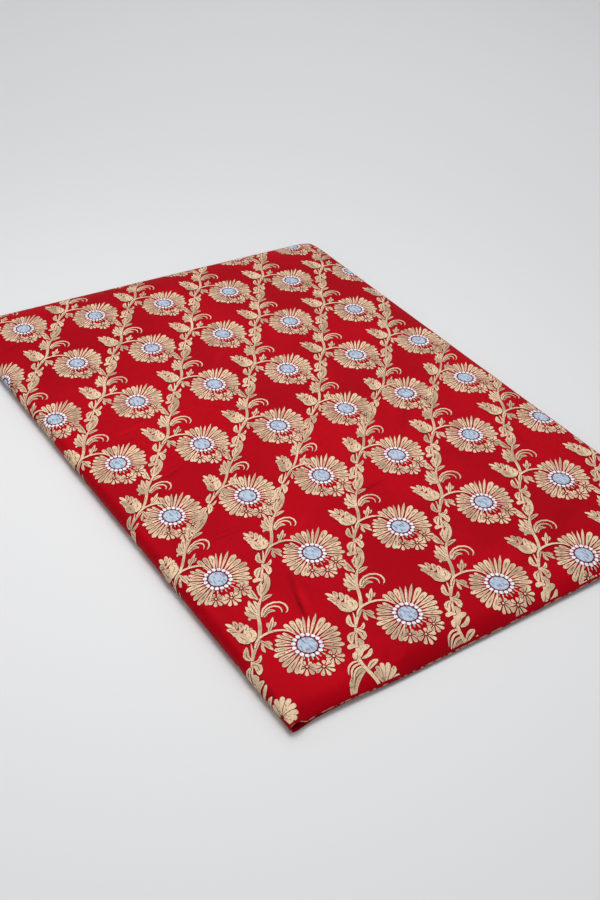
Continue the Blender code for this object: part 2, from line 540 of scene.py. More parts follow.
def add_dark_shape(outline, points, shape, width, grow, painted_shadow_shift, lift, sides):
    """A flat dark shape: the outline beneath a blade, shifted as a painted shadow, or the vein on it."""
    ring = bmesh.ops.create_circle(outline, cap_ends=True, segments=sides * 2, radius=1.0)["verts"]
    for vert in ring:
        turn = math.atan2(vert.co.y, vert.co.x)
        vert.co = (*(rim_place(points, shape, width, grow, turn) + painted_shadow_shift), lift)


def add_vein(outline, points, tier, span=VEIN_SPAN):
    """A thin dark line along the middle of a leaf or a ray."""
    points = [Vector(point) for point in points]
    shares = [span[0] + (span[1] - span[0]) * step / 2 for step in range(3)]
    middle = [centre_line(points, share)[0] for share in shares]
    lift = BASE_LIFT + tier * TIER_LIFT + TOP_LIFT + OUTLINE_LIFT
    add_dark_shape(outline, middle, SHAPES["leaf"], VEIN, 0.0, Vector((0.0, 0.0)), lift, VEIN_SIDES)


# %% [markdown]
# ## The flower
#
# Seen flat, the flower is a wheel of fans round a blue heart, 50 mm across. The rays of a fan lie close
# together at their tips, each with its dark edge, and leave slits of red near the heart. Three small
# florets fill the lower part, with thin stamens between them and the heart. The table has a row for
# each fan, with its angles in degrees and its lengths in millimetres.

# %% Draw the flower's gold
FANS = (
    {"first": -38, "last": 34, "count": 7, "tip": (21.8, 26.8), "kind": "ray", "gap": 0.38},
    {"first": 46, "last": 64, "count": 3, "tip": (28.2, 25.4), "kind": "sprig", "gap": 0.60},
    {"first": 73, "last": 99, "count": 3, "tip": (24.2, 21.6), "kind": "ray", "gap": 0.38},
    {"first": 118, "last": 151, "count": 4, "tip": (19.2, 21.6), "kind": "ray", "gap": 0.38},
    {"first": 163, "last": 221, "count": 6, "tip": (22.2, 26.0), "kind": "ray", "gap": 0.38},
)
RAY_VEIN = (0.42, 0.80)
FLORETS = (
    {"at": 236, "root": 18.0, "size": 7.2},
    {"at": 268, "root": 19.8, "size": 7.6},
    {"at": 301, "root": 18.2, "size": 7.2},
)
FLORET_SHELL = {"petals": 9, "spread": 300, "width": 1.35}
FLORET_HEART_SIDES = 8
FLORET_HEARTS = ({"radius": 1.30, "lift": 0.26}, {"radius": 0.80, "lift": 0.32})
RAY_ROOT = 8.8
SCALLOP = 1.0
SCALLOP_TURN = 2.2
STAMENS = {"first": 226, "last": 310, "count": 7, "root": 10.0, "tip": 12.6, "longer": 1.3, "width": 0.55}
STAMEN_SIDES = 4
SHELL_ROOT = 1.6
SHELL_ROUNDING = 1.3
SHELL_SIDES = 6


def at_angle(degrees, radius):
    """A point at an angle and a radius."""
    return Vector((math.cos(math.radians(degrees)) * radius, math.sin(math.radians(degrees)) * radius))


def straight(root, end):
    """The three points of a straight centre line."""
    return root, (root + end) / 2, end


def draw_shell(gold, outline, root, at, size, petals, spread, width):
    """Petals that open from one root, like a shell."""
    for number in range(petals):
        share = number / (petals - 1) - 0.5
        angle = at + share * spread
        length = size * (1 - SHELL_ROUNDING * share * share)
        line = straight(root + at_angle(angle, SHELL_ROOT), root + at_angle(angle, length))
        add_blade(gold, outline, line, "ray", width, tier=number % 2, sides=SHELL_SIDES)


def draw_fans(gold, outline):
    """The rays of every fan. Each fills its share of the fan, apart from a gap."""
    for fan in FANS:
        last = fan["count"] - 1
        step = (fan["last"] - fan["first"]) / last
        first_tip, last_tip = fan["tip"]
        for number in range(fan["count"]):
            angle = fan["first"] + step * number
            scallop = SCALLOP * math.sin(SCALLOP_TURN * number + fan["first"])
            tip = first_tip + (last_tip - first_tip) * number / last + scallop
            widest = RAY_ROOT + SHAPES[fan["kind"]]["widest"] * (tip - RAY_ROOT)
            width = widest * math.sin(math.radians(step) / 2) - fan["gap"]
            line = straight(at_angle(angle, RAY_ROOT), at_angle(angle, tip))
            add_blade(gold, outline, line, fan["kind"], width, tier=number % 2)
            if fan["kind"] == "ray":
                add_vein(outline, line, number % 2, RAY_VEIN)


def draw_florets(gold, outline):
    """The three small florets, each with a dark ring round its middle, and the stamens above them."""
    for floret in FLORETS:
        root = at_angle(floret["at"], floret["root"])
        draw_shell(gold, outline, root, floret["at"], floret["size"], **FLORET_SHELL)
        for target, heart in zip((outline, gold), FLORET_HEARTS):
            add_disc(target, root, heart["radius"], FLORET_HEART_SIDES, heart["lift"])
    step = (STAMENS["last"] - STAMENS["first"]) / (STAMENS["count"] - 1)
    for number in range(STAMENS["count"]):
        angle = STAMENS["first"] + step * number
        tip = STAMENS["tip"] + STAMENS["longer"] * (number % 2)
        line = straight(at_angle(angle, STAMENS["root"]), at_angle(angle, tip))
        add_blade(gold, outline, line, "sprig", STAMENS["width"], sides=STAMEN_SIDES)


# %% [markdown]
# ## The vine
#
# One vine climbs through the cloth with the same shapes in every repeat: a stem, a bud like an ear of
# grain, a stalk that carries the flower, a crown of lobed leaves, three tendrils, and a garland of
# small leaves that leads down to the repeat below. Each row gives a shape's points in millimetres
# from the flower's heart, its kind and half its width. A higher tier lies on a lower one.

# %% The tables of the vine
REPEAT_ACROSS = Vector((72.9, -8.8))
REPEAT_ALONG = Vector((49.9, 70.9))


def blade_row(kind, width, tier, sides, *points):
    """A table's row for one blade: its kind, half its width, its tier, its sides and its points."""
    return {"kind": kind, "width": width, "tier": tier, "sides": sides, "points": points}


VINE = (
    blade_row("stem", 0.9, 0, 14, (-53.0, -19.5), (-49.2, -11.5), (-46.0, -6.5), (-42.2, -0.5),
              (-38.0, 6.0), (-33.8, 12.4), (-30.8, 19.2)),
    blade_row("stem", 1.25, 2, 16, (-37.6, 6.8), (-32.0, 12.6), (-26.2, 17.4), (-20.8, 24.0),
              (-17.2, 30.6), (-14.6, 37.0), (-10.8, 43.0), (-6.4, 48.0), (-2.6, 51.6)),
    blade_row("stem", 0.9, 3, 13, (-30.6, 14.4), (-27.4, 18.0), (-22.8, 20.2), (-16.1, 20.7), (-9.4, 19.3),
              (-4.2, 15.6), (-1.4, 9.4)),
    blade_row("leaf", 2.0, 1, 7, (-37.6, 7.6), (-38.6, 12.4), (-34.8, 18.2)),
)
BUD_TIP = {"from": 0.74, "width": 1.5, "tier": 1, "sides": 6}
BUD_LINE = ((-30.5, 19.2), (-30.4, 26.0), (-32.2, 33.4), (-37.4, 42.0))
SCALE_VEIN = (0.30, 0.80)
SCALE_BOW = {"turn": 14, "share": 0.55}
BUD_SCALES = (
    {"at": 0.04, "length": 10.4, "width": 3.8, "opening": 21, "tier": 4},
    {"at": 0.26, "length": 8.4, "width": 2.0, "opening": 47, "tier": 3},
    {"at": 0.42, "length": 8.2, "width": 2.0, "opening": 46, "tier": 2},
    {"at": 0.58, "length": 7.4, "width": 1.9, "opening": 42, "tier": 1},
    {"at": 0.72, "length": 6.6, "width": 1.7, "opening": 37, "tier": 0},
)
CROWN = (
    blade_row("leaf", 2.1, 2, 7, (-14.6, 37.0), (-15.0, 43.6), (-13.8, 51.4)),
    blade_row("leaf", 1.9, 1, 7, (-15.2, 36.6), (-17.4, 41.6), (-18.2, 47.8)),
    blade_row("round", 1.6, 2, 6, (-15.8, 36.0), (-19.2, 39.2), (-21.0, 43.8)),
    blade_row("round", 1.1, 1, 6, (-16.4, 34.8), (-20.4, 37.8), (-21.8, 35.6)),
    blade_row("leaf", 1.6, 1, 7, (-13.0, 39.8), (-10.8, 44.2), (-10.6, 49.8)),
    blade_row("leaf", 1.8, 1, 7, (-7.6, 49.0), (-8.4, 54.6), (-7.4, 61.0)),
    blade_row("round", 1.1, 0, 6, (-8.2, 50.4), (-10.4, 53.6), (-11.0, 57.6)),
    blade_row("leaf", 2.7, 2, 8, (-4.8, 50.8), (2.0, 56.0), (9.8, 64.4)),
    blade_row("leaf", 1.5, 1, 7, (-4.6, 52.4), (-1.8, 57.4), (2.6, 62.6)),
    blade_row("leaf", 1.6, 1, 7, (-6.4, 46.8), (-2.0, 48.6), (3.4, 49.0)),
)
TENDRILS = (
    blade_row("tendril", 0.80, 0, 13, (-13.0, 34.6), (-9.8, 39.6), (-3.6, 42.4), (2.2, 41.8), (5.8, 38.8),
              (6.3, 34.8), (5.2, 32.0), (2.8, 30.2)),
    blade_row("tendril", 0.75, 1, 11, (-11.8, 35.2), (-7.4, 38.8), (-2.6, 39.6), (0.9, 37.8), (2.0, 34.8),
              (0.6, 31.6)),
    blade_row("leaf", 1.4, 0, 8, (-12.0, 33.6), (-8.4, 36.4), (-5.0, 36.8), (-2.4, 34.8)),
    blade_row("leaf", 1.4, 1, 7, (-16.4, 20.8), (-11.6, 25.4), (-6.8, 31.0)),
    blade_row("round", 1.1, 0, 6, (-13.8, 23.6), (-13.6, 26.2), (-12.2, 28.6)),
    blade_row("round", 1.1, 0, 6, (-12.8, 24.2), (-10.0, 24.6), (-7.2, 26.4)),
    blade_row("leaf", 1.5, 1, 7, (-24.8, 18.6), (-22.8, 13.0), (-21.0, 6.8)),
    blade_row("round", 1.2, 0, 6, (-24.2, 15.4), (-26.2, 12.0), (-26.6, 8.2)),
    blade_row("round", 1.2, 0, 6, (-23.2, 15.6), (-20.4, 14.0), (-19.6, 10.8)),
)
GARLAND = (
    blade_row("leaf", 1.3, 1, 7, (-37.6, 5.4), (-33.6, 4.6), (-30.0, 8.0)),
    blade_row("leaf", 2.5, 2, 7, (-38.8, 5.2), (-36.4, 0.8), (-38.8, -4.6)),
    blade_row("leaf", 2.2, 1, 7, (-40.6, 3.8), (-45.0, 1.8), (-47.8, -3.8)),
    blade_row("round", 2.0, 1, 6, (-44.8, -7.4), (-48.6, -5.0), (-52.2, -6.2)),
    blade_row("round", 1.9, 2, 6, (-42.4, -1.4), (-41.4, -5.0), (-44.2, -8.8)),
    blade_row("round", 1.6, 1, 6, (-47.8, -10.8), (-51.2, -11.8), (-53.2, -15.4)),
)

# %% [markdown]
# The front selvedge cuts the lowest vines short. There they end in a spray: three nested curls and a
# rolled leaf on one side, a small leaf and a shell of petals on the other.

# %% The table of the front spray
SPRAY = (
    blade_row("stem", 1.3, 2, 12, (-45.4, -44.0), (-47.2, -34.0), (-50.4, -26.0), (-51.4, -19.0),
              (-48.4, -11.0)),
    blade_row("tendril", 0.75, 1, 9, (-50.8, -17.4), (-56.0, -16.6), (-60.6, -18.8), (-63.6, -23.4)),
    blade_row("tendril", 0.75, 1, 9, (-50.8, -19.6), (-56.0, -19.2), (-60.2, -21.6), (-63.0, -26.0)),
    blade_row("tendril", 0.75, 1, 9, (-50.8, -21.8), (-56.0, -21.8), (-60.0, -24.2), (-62.6, -28.6)),
    blade_row("leaf", 2.9, 0, 9, (-50.6, -23.4), (-57.4, -25.2), (-64.0, -29.6), (-68.4, -38.0)),
    blade_row("leaf", 1.9, 1, 7, (-50.4, -25.0), (-45.2, -22.2), (-40.2, -21.4)),
    blade_row("round", 2.3, 3, 8, (-49.6, -15.0), (-45.0, -10.2), (-38.6, -9.8)),
    blade_row("round", 1.5, 2, 7, (-48.8, -16.6), (-43.4, -16.0), (-38.8, -12.6)),
)
SHELL = {"root": Vector((-43.6, -35.4)), "at": 28, "size": 13.0, "petals": 9, "spread": 170, "width": 1.75}


# %% Draw the vine


def draw_rows(gold, outline, rows):
    """Every blade of a table. A leaf also has a vein."""
    for row in rows:
        add_blade(gold, outline, **row)
        if row["kind"] == "leaf":
            add_vein(outline, row["points"], row["tier"])


def draw_bud(gold, outline):
    """A bud like an ear of grain: two petals at its foot, ranks of scales above them and one at its tip."""
    line = [Vector(point) for point in BUD_LINE]
    top = straight(centre_line(line, BUD_TIP["from"])[0], line[-1])
    add_blade(gold, outline, top, "leaf", BUD_TIP["width"], BUD_TIP["tier"], BUD_TIP["sides"])
    for row in BUD_SCALES:
        root, along = centre_line(line, row["at"])
        heading = math.degrees(math.atan2(along.y, along.x))
        for side in (1, -1):
            tip = root + at_angle(heading + side * row["opening"], row["length"])
            bow_angle = heading + side * (row["opening"] + SCALE_BOW["turn"])
            bow = root + at_angle(bow_angle, row["length"] * SCALE_BOW["share"])
            add_blade(gold, outline, (root, bow, tip), "leaf", row["width"], row["tier"])
            add_vein(outline, (root, bow, tip), row["tier"], SCALE_VEIN)


# %% [markdown]
# ## The heart of the flower
#
# The heart is a blue disc with a dark edge, inside a ring of sixteen white dots. Both are low domes:
# a disc with an inset top that is lifted. A flat darker disc beneath each shows as its edge.

# %% Draw the heart and its dots
HEART_RADIUS = 6.5
HEART_SIDES = 26
HEART_EDGE = 0.60
DOT_COUNT = 16
DOT_RING = 8.9
DOT_RADIUS = 1.50
DOT_SIDES = 9
DOT_EDGE = 0.32
DOME_EDGE = 0.30
HEART_LIFTS = {"dot edge": 0.14, "heart edge": 0.18, "heart": 0.22, "dot": 0.24}
DOME_HEIGHT = 0.12


def add_disc(target, centre, radius, sides, lift, height=0.0):
    """A round disc in millimetres. With a height its middle stands up, unless the shape is pressed flat."""
    ring = bmesh.ops.create_circle(target, cap_ends=True, segments=sides, radius=radius)["verts"]
    face = ring[0].link_faces[0]
    top = []
    if height and target.verts.layers.float.get("rim") is not None:
        bmesh.ops.inset_individual(target, faces=[face], thickness=radius * DOME_EDGE)
        top = list(face.verts)
        bmesh.ops.translate(target, verts=top, vec=(0.0, 0.0, height))
    bmesh.ops.translate(target, verts=ring + top, vec=(centre.x, centre.y, lift))


def draw_heart(blue, white, outline):
    """The blue disc and its ring of dots."""
    middle = Vector((0.0, 0.0))
    add_disc(blue, middle, HEART_RADIUS, HEART_SIDES, HEART_LIFTS["heart"], DOME_HEIGHT)
    add_disc(outline, middle, HEART_RADIUS + HEART_EDGE, HEART_SIDES, HEART_LIFTS["heart edge"])
    for number in range(DOT_COUNT):
        place = at_angle(360 / DOT_COUNT * (number + 0.5), DOT_RING)
        add_disc(white, place, DOT_RADIUS, DOT_SIDES, HEART_LIFTS["dot"], DOME_HEIGHT)
        add_disc(outline, place, DOT_RADIUS + DOT_EDGE, DOT_SIDES, HEART_LIFTS["dot edge"])


# %% [markdown]
# ## One repeat
#
# The repeat is drawn in millimetres and flat, then changed to metres and cut by a grid of planes. The
# cuts give it the vertices that it needs to bend with the cloth. The underside lies flat on the table,
# so its own repeat is pressed flat and needs no cuts.

# %% Draw the repeat
BEND_STEP = 4.0
SAME_PLACE = 1e-7


def everything(shape):
    """All the vertices, edges and faces of a shape."""
    return shape.verts[:] + shape.edges[:] + shape.faces[:]


def cut(shape, geometry, place, normal, clear=False):
    """Cuts some geometry by a plane. What lies beyond the plane may be cleared away."""
    bmesh.ops.bisect_plane(
        shape, geom=geometry, dist=SAME_PLACE, plane_co=place, plane_no=normal, clear_outer=clear
    )


def cut_in_strips(shape, low, high, step, direction):
    """Cuts a flat shape by evenly spaced planes, so that it can bend."""
    normal = Vector(direction)
    for number in range(int((high - low) / step) + 1):
        cut(shape, everything(shape), normal * (low + number * step), normal)


def finished_repeat(name, shape, step):
    """A mesh of the flat shape, in metres, cut so that it can bend."""
    bmesh.ops.triangulate(shape, faces=shape.faces)
    if step:
        xs = [vert.co.x for vert in shape.verts]
        ys = [vert.co.y for vert in shape.verts]
        cut_in_strips(shape, min(xs), max(xs), step, (1.0, 0.0, 0.0))
        cut_in_strips(shape, min(ys), max(ys), step, (0.0, 1.0, 0.0))
    bmesh.ops.scale(shape, vec=(MM, MM, MM), verts=shape.verts)
    mesh = bpy.data.meshes.new(name)
    shape.to_mesh(mesh)
    shape.free()
    return mesh


def draw_repeat(raised):
    """The flat meshes of one repeat, and those of the spray that ends a vine at the front."""
    names = ("flower_gold", "flower_outline", "vine_gold", "vine_outline", "flower_heart", "flower_dots")
    shapes = {name: start_shape(raised) for name in names + ("spray_gold", "spray_outline")}
    draw_fans(shapes["flower_gold"], shapes["flower_outline"])
    draw_florets(shapes["flower_gold"], shapes["flower_outline"])
    draw_heart(shapes["flower_heart"], shapes["flower_dots"], shapes["flower_outline"])
    draw_bud(shapes["vine_gold"], shapes["vine_outline"])
    for rows in (CROWN, TENDRILS, GARLAND, VINE):
        draw_rows(shapes["vine_gold"], shapes["vine_outline"], rows)
    draw_rows(shapes["spray_gold"], shapes["spray_outline"], SPRAY)
    draw_shell(shapes["spray_gold"], shapes["spray_outline"], **SHELL)
    meshes = {}
    for name, shape in shapes.items():
        step = BEND_STEP if raised and name != "flower_dots" else 0.0
        meshes[name] = finished_repeat(name, shape, step)
        print(name, "raised" if raised else "pressed", len(meshes[name].polygons), "faces")
    return meshes


REPEAT = {"top": draw_repeat(True), "underside": draw_repeat(False)}

# %% [markdown]
# ## Where the repeats lie
#
# On the loom the repeats form an even lattice. On this cloth they lie a little closer towards the
# back, and the weft is drawn aside along one soft line, as it is on a cloth that has been handled.
# The flowers keep their shape, and the vines between them bend.

# %% Place the repeats on the flat cloth
FIRST_FLOWER = Vector((-0.0660, -0.2110))
CLOSER_ACROSS = 0.13
CLOSER_ALONG = 0.08
DRAWN_ASIDE = np.array((0.0390, -0.0110))
DRAWN_HEADING = math.radians(104.4)
DRAWN_PLACE = -0.0190
DRAWN_SOFTNESS = 0.022


def closer_to_back(points):
    """Draws a pattern's points a little together towards the back."""
    share = (points[:, 1] + HALF_LENGTH) / LENGTH
    moved = points.copy()
    moved[:, 0] -= CLOSER_ACROSS * points[:, 0] * share
    moved[:, 1] -= CLOSER_ALONG * LENGTH * share**2
    return moved


def drawn_aside(points):
    """How far the cloth is drawn aside at some points."""
    past = points[:, 0] * math.cos(DRAWN_HEADING) + points[:, 1] * math.sin(DRAWN_HEADING) - DRAWN_PLACE
    share = 1 / (1 + np.exp(-past / DRAWN_SOFTNESS))
    return share[:, None] * DRAWN_ASIDE


COLUMNS = range(-18, 5)
LAST_ROW = 10
LOWEST_HEART = -0.252
REPEAT_REACH = 0.075


def repeat_centres(front_only):
    """The hearts of the flowers over the top, the wrap and the underside, or those next to the front."""
    across, along = REPEAT_ACROSS * MM, REPEAT_ALONG * MM
    centres = []
    for column in COLUMNS:
        first = FIRST_FLOWER + across * column
        lowest = math.ceil((LOWEST_HEART - first.y) / along.y)
        highest = lowest if front_only else LAST_ROW
        centres += [first + along * row for row in range(lowest, highest + 1)]
    return centres


def copy_repeat(pattern, mesh, centres, low, high, rigid):
    """Copies one repeat's mesh to every place that lies between two limits across the flat cloth."""
    flat = coordinates(mesh)
    copy = mesh.copy()
    for centre in centres:
        heart = closer_to_back(np.array([[centre.x, centre.y]]))
        across, along = (heart + drawn_aside(heart))[0]
        if not low - REPEAT_REACH < across < high + REPEAT_REACH:
            continue
        if abs(along) > HALF_LENGTH + REPEAT_REACH:
            continue
        places = closer_to_back(flat[:, :2] + np.array(centre))
        anchors = heart if rigid else places
        set_coordinates(copy, np.column_stack([places + drawn_aside(anchors), flat[:, 2]]))
        pattern.from_mesh(copy)
    bpy.data.meshes.remove(copy)


def spread_pattern(side, part, low, high):
    """One kind of piece over one side of the cloth, between two limits, laid on the folds."""
    pattern = start_shape(side == "top")
    meshes = REPEAT[side]
    copy_repeat(pattern, meshes[part], repeat_centres(False), low, high, part.startswith("flower"))
    if part.startswith("vine"):
        copy_repeat(pattern, meshes[part.replace("vine", "spray")], repeat_centres(True), low, high, False)
    trim_pattern(pattern, low, high)
    cut_at_wrap(pattern)
    return fold_pattern(f"{part}_{side}", pattern)


# %% [markdown]
# What runs past a selvedge or past the end of the cloth is cut away, and the shapes that cross the
# wrapped side get more cuts, because the cloth bends sharply there. On the underside the pile's own
# weight presses the woven threads flat, so the pattern stands up less.

# %% Trim the pattern and lay it on the folds
SELVEDGE = 0.0016
WRAP = RUNS[1]
WRAP_MIDDLE = HALF_WIDTH - (WRAP["start"] + WRAP["end"]) / 2
UNDERSIDE_END = HALF_WIDTH - RUNS[2]["end"]
SIDE_MARGIN = 0.0012
WRAP_CUT = 0.0013
WRAP_REACH = 0.006
UNDERSIDE_LIFT = 0.35
LIFT_CHANGE = 0.006
SHARP_ANGLE = math.radians(50)


def trim_pattern(pattern, low, high):
    """Keeps the pattern between the selvedges and between two places across."""
    selvedge = HALF_LENGTH - SELVEDGE
    limits = (((0, 1, 0), selvedge), ((0, -1, 0), selvedge), ((1, 0, 0), high), ((-1, 0, 0), -low))
    for direction, reach in limits:
        normal = Vector(direction)
        cut(pattern, everything(pattern), normal * reach, normal, clear=True)


def cut_at_wrap(pattern):
    """Cuts the pattern by planes that lie close together over the wrapped side."""
    wrap_low, wrap_high = HALF_WIDTH - WRAP["end"], HALF_WIDTH - WRAP["start"]
    count = int((wrap_high - wrap_low) / WRAP_CUT)
    for number in range(count + 1):
        place = wrap_low + (wrap_high - wrap_low) * number / count
        near = [face for face in pattern.faces if abs(face.calc_center_median().x - place) < WRAP_REACH]
        edges = {edge for face in near for edge in face.edges}
        verts = {vert for face in near for vert in face.verts}
        cut(pattern, near + list(edges) + list(verts), (place, 0, 0), (1, 0, 0))


def fold_pattern(name, pattern):
    """Lays a flat pattern on the folds and gives it the cloth's UV map."""
    bmesh.ops.triangulate(pattern, faces=pattern.faces)
    piece = add_object(name, pattern)
    flat = coordinates(piece.data)
    beneath = np.clip((WRAP_MIDDLE - flat[:, 0]) / LIFT_CHANGE, 0.0, 1.0)
    lift = flat[:, 2] * (1 - (1 - UNDERSIDE_LIFT) * beneath)
    set_coordinates(piece.data, on_folds(flat[:, 0], flat[:, 1], SILK / 2 + lift))
    set_cloth_uv(piece.data, flat[:, 0], flat[:, 1])
    piece.data.update()
    piece.data.shade_smooth()
    piece.data.set_sharp_from_angle(angle=SHARP_ANGLE)
    print(name, len(piece.data.polygons), "triangles")
    return piece


SIDES = {
    "top": {"low": WRAP_MIDDLE, "high": HALF_WIDTH - SIDE_MARGIN},
    "underside": {"low": UNDERSIDE_END + SIDE_MARGIN, "high": WRAP_MIDDLE},
}
PARTS = [part for part in REPEAT["top"] if not part.startswith("spray")]
PATTERN = {}
for side, limits in SIDES.items():
    for part in PARTS:
        PATTERN[side, part] = spread_pattern(side, part, limits["low"], limits["high"])

# %% [markdown]
# ## The finishes
#
# Two effects are shared, so each is a node group. One is the crossing threads of the weave. The other
# is the tone of the cloth: broad patches, fine grain along the threads, and the crumple of handling.

# %% Node helpers


def plug(tree, socket, value):
    """Gives an input a number or a colour, or links it to another node's output."""
    if isinstance(value, (int, float, tuple)):
        socket.default_value = value
    else:
        tree.links.new(value, socket)


def add_node(tree, kind, **inputs):
    """A shader node whose inputs are plugged by their names, with _ for a space."""
    node = tree.nodes.new(f"ShaderNode{kind}")
    for name, value in inputs.items():
        plug(tree, node.inputs[name.replace("_", " ")], value)
    return node


def maths(tree, operation, *values):
    """A Math node that joins some values, each a socket or a number."""
    node = add_node(tree, "Math")
    node.operation = operation
    for socket, value in zip(node.inputs, values):
        plug(tree, socket, value)
    return node.outputs[0]


def mixed(tree, factor, first, second):
    """A colour between two colours, each a socket or a tuple."""
    node = add_node(tree, "Mix")
    node.data_type = "RGBA"
    for number, value in ((0, factor), (6, first), (7, second)):
        plug(tree, node.inputs[number], value)
    return node.outputs[2]


def group_with(name, numbers, outputs):
    """A node group that takes a place on the cloth and some numbers, and puts out some values."""
    group = bpy.data.node_groups.new(name, "ShaderNodeTree")
    group.interface.new_socket("Cloth", in_out="INPUT", socket_type="NodeSocketVector")
    for label, value in numbers.items():
        socket = group.interface.new_socket(label, in_out="INPUT", socket_type="NodeSocketFloat")
        socket.default_value = value
    for label in outputs:
        group.interface.new_socket(label, in_out="OUTPUT", socket_type="NodeSocketFloat")
    entry = group.nodes.new("NodeGroupInput")
    leave = group.nodes.new("NodeGroupOutput")
    return group, entry.outputs, leave.inputs


# %% The crossing threads
THREADS = {"Warp Per Metre": 3000.0, "Weft Per Metre": 2200.0}


def make_weave_group():
    """Crossing threads: a height and a mask of the weft."""
    group, given, result = group_with("crossing threads", THREADS, ("Height", "Weft"))
    split = add_node(group, "SeparateXYZ", Vector=given["Cloth"])
    waves = []
    for axis, count in zip("XY", THREADS):
        turns = maths(group, "MULTIPLY", given[count], 2 * math.pi)
        wave = maths(group, "SINE", maths(group, "MULTIPLY", split.outputs[axis], turns))
        waves.append(maths(group, "ABSOLUTE", wave))
    group.links.new(maths(group, "MULTIPLY", maths(group, "ADD", *waves), 0.5), result["Height"])
    group.links.new(waves[1], result["Weft"])
    return group


# %% The tone of the cloth
TONE_SCALES = {"Broad Scale": 9.0, "Fine Scale": 500.0}
BROAD_DETAIL = 3.0
FINE_DETAIL = 2.0
THREAD_STRETCH = (1.0, 0.35, 1.0)
CRUMPLE = {"Scale": 13.0, "Detail": 1.5, "Distortion": 1.4}


def make_tone_group():
    """Slow and fine changes of tone over the cloth, stretched along the threads, and its crumple."""
    group, given, result = group_with("tone of the cloth", TONE_SCALES, ("Broad", "Fine", "Crumple"))
    cloth = given["Cloth"]
    broad = add_node(group, "TexNoise", Vector=cloth, Scale=given["Broad Scale"], Detail=BROAD_DETAIL)
    threads = add_node(group, "Mapping", Vector=cloth, Scale=THREAD_STRETCH).outputs[0]
    fine = add_node(group, "TexNoise", Vector=threads, Scale=given["Fine Scale"], Detail=FINE_DETAIL)
    crumple = add_node(group, "TexNoise", Vector=cloth, **CRUMPLE)
    off_ridge = maths(group, "ABSOLUTE", maths(group, "MULTIPLY_ADD", crumple.outputs["Fac"], 2.0, -1.0))
    group.links.new(maths(group, "SUBTRACT", 1.0, off_ridge), result["Crumple"])
    group.links.new(broad.outputs["Fac"], result["Broad"])
    group.links.new(fine.outputs["Fac"], result["Fine"])
    return group


WEAVE = make_weave_group()
TONE = make_tone_group()

# %% Material helpers


def new_material(name, roughness, gloss):
    """A material with a Principled shader and the two shared groups, both reading the cloth's UV map."""
    material = bpy.data.materials.new(name)
    material.use_nodes = True
    tree = material.node_tree
    shader = tree.nodes["Principled BSDF"]
    shader.inputs["Roughness"].default_value = roughness
    shader.inputs["Specular IOR Level"].default_value = gloss
    cloth_map = tree.nodes.new("ShaderNodeUVMap")
    cloth_map.uv_map = "cloth"
    cloth = cloth_map.outputs["UV"]
    groups = []
    for group in (WEAVE, TONE):
        node = tree.nodes.new("ShaderNodeGroup")
        node.node_tree = group
        tree.links.new(cloth, node.inputs["Cloth"])
        groups.append(node)
    return material, tree, shader, cloth, *groups


def add_bump(tree, shader, height, distance, strength):
    """A Bump node between a height and the shader's normal."""
    bump = add_node(tree, "Bump", Height=height, Distance=distance, Strength=strength)
    tree.links.new(bump.outputs["Normal"], shader.inputs["Normal"])


def ramp(tree, value, limits):
    """A value spread smoothly from 0 to 1 between two limits."""
    node = add_node(tree, "MapRange", Value=value, From_Min=limits[0], From_Max=limits[1])
    node.interpolation_type = "SMOOTHSTEP"
    return node.outputs["Result"]


def attribute(tree, name):
    """A mark that a piece's mesh carries, as a value."""
    node = add_node(tree, "Attribute")
    node.attribute_name = name
    return node.outputs["Fac"]


# %% [markdown]
# The ground is a red satin. Satin shows its warp, so it has a soft gloss. Its two selvedges are bound
# with a thin line of pale gold weft, which breaks into dashes. Fingers leave thin pressed lines in a
# satin, narrower than the sheet's faces. Each is a soft streak that the material draws on the UV map,
# as a dent in the bump and as painted shade in the colour.

# %% Red satin
RED = (0.450, 0.0012, 0.0080, 1.0)
DEEP_RED = (0.352, 0.0010, 0.0062, 1.0)
# Painted shade for the troughs of the creases and the pressed lines, and a painted highlight for the
# ridges.
PAINTED_CREASE_SHADE = (0.150, 0.0008, 0.0030, 1.0)
PAINTED_RIDGE_HIGHLIGHT = (0.560, 0.0040, 0.0140, 1.0)
SELVEDGE_GOLD = (0.620, 0.300, 0.220, 1.0)
SELVEDGE_LINE = 0.0005
TOP_CLOTH = -0.186
SATIN_METALLIC = 0.18
SATIN_LIMITS = {
    "broad": (0.35, 0.65),
    "grain": (0.30, 0.75),
    "painted_ridge_highlight": (0.05, 0.9),
    "painted_hollow_shade": (0.08, 1.3),
    "dashes": (0.46, 0.56),
    "handled": (0.30, 0.75),
}
GRAIN_SHARE = 0.50
RIDGE_HIGHLIGHT_SHARE = 0.7
DASHES = {"Scale": 320.0, "Detail": 2.0}
CRUMPLE_DEPTH = 0.0012
THREAD_RELIEF = 0.012
LINE_RELIEF = 0.22
